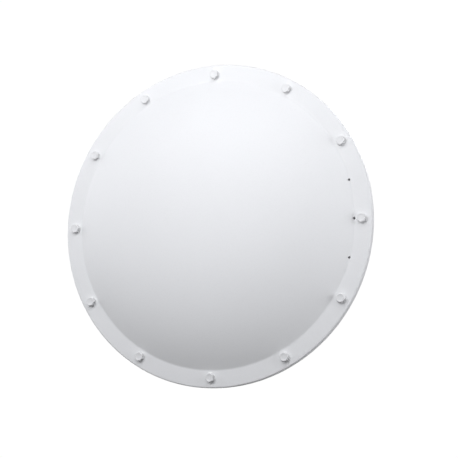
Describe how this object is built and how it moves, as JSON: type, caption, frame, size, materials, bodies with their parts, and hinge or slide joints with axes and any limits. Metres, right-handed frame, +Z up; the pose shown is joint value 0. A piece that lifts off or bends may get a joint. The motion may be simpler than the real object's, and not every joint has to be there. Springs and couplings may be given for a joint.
{
  "type": "parabolic dish antenna",
  "caption": "Round parabolic dish antenna closed by a shallow domed radome bolted round its rim, on a tilting and panning pole clamp.",
  "frame": {"origin": "on the pole's axis, at mid height of the pole clamp", "axes": "+Z up along the pole, the dish looks along -Y, +X to the right seen from in front of the dish"},
  "size_m": [0.65, 0.5525, 0.65],
  "materials": {
    "radome_white": "satin",
    "bolt_white": "satin",
    "dish_white": "satin",
    "seal_rubber": "matt",
    "bare_alloy": "turned",
    "cast_alloy": "cast",
    "feed_plastic": "satin",
    "contact_brass": "bright",
    "port_nickel": "bright plated",
    "zinc_plate": "hot-dip galvanised",
    "fastener_steel": "stainless"
  },
  "bodies": {
    "pole_mount": {"pole_web": "zinc_plate", "pole_arms": "zinc_plate", "swivel_bolts": "fastener_steel", "swivel_nuts": "fastener_steel", "pan_lock_bolts": "fastener_steel", "pan_lock_nuts": "fastener_steel", "pole_saddles": "cast_alloy", "rear_jaws": "cast_alloy", "clamp_bolts": "fastener_steel", "clamp_nuts": "fastener_steel", "ground_screw": "contact_brass"},
    "yoke": {"yoke_web": "zinc_plate", "yoke_cheeks": "zinc_plate", "yoke_arms": "zinc_plate", "pivot_bolts": "fastener_steel", "pivot_nuts": "fastener_steel", "jack_nuts": "fastener_steel"},
    "dish": {"radome_shell": "radome_white", "radome_gasket": "seal_rubber", "reflector_dish": "dish_white", "radome_bolts": "bolt_white", "bolt_washers": "bolt_white", "rim_nuts": "fastener_steel", "hub_plate": "zinc_plate", "hub_bolts": "fastener_steel", "hub_nuts": "fastener_steel", "bracket_base": "zinc_plate", "bracket_ears": "zinc_plate", "push_bars": "zinc_plate", "lock_bolts": "fastener_steel", "lock_nuts": "fastener_steel", "clamp_ring": "zinc_plate", "clamp_screws": "fastener_steel"},
    "feed": {"feed_tube": "bare_alloy", "feed_dielectric": "feed_plastic", "subreflector": "bare_alloy", "feed_flange": "bare_alloy", "feed_seal": "seal_rubber", "transducer_body": "dish_white", "transducer_cover": "dish_white", "cover_screws": "fastener_steel", "port_shell": "port_nickel", "port_screws": "fastener_steel", "port_insulator": "feed_plastic", "port_pin": "contact_brass"},
    "upper_jack": {"upper_jack_screw": "fastener_steel"},
    "lower_jack": {"lower_jack_screw": "fastener_steel"}
  },
  "joints": [
    {"name": "pan", "type": "hinge", "parent": "pole_mount", "child": "yoke", "pos_m": [0, -0.112, 0], "axis": [0, 0, 1], "range_deg": [-10, 10]},
    {"name": "tilt", "type": "hinge", "parent": "yoke", "child": "dish", "pos_m": [0, -0.248, 0], "axis": [-1, 0, 0], "range_deg": [-15, 15]},
    {"name": "feed_turn", "type": "hinge", "parent": "dish", "child": "feed", "pos_m": [0, -0.248, 0], "axis": [0, 1, 0], "range_deg": [-5, 95]},
    {"name": "upper_jack_travel", "type": "slide", "parent": "yoke", "child": "upper_jack", "axis": [0, 1, 0], "range_m": [-0.0098, 0.0098]},
    {"name": "lower_jack_travel", "type": "slide", "parent": "yoke", "child": "lower_jack", "axis": [0, 1, 0], "range_m": [-0.0098, 0.0098]}
  ],
  "couplings": [
    {"joint": "upper_jack_travel", "follows": "tilt", "m_per_rad": 0.036846},
    {"joint": "lower_jack_travel", "follows": "tilt", "m_per_rad": -0.036846}
  ]
}
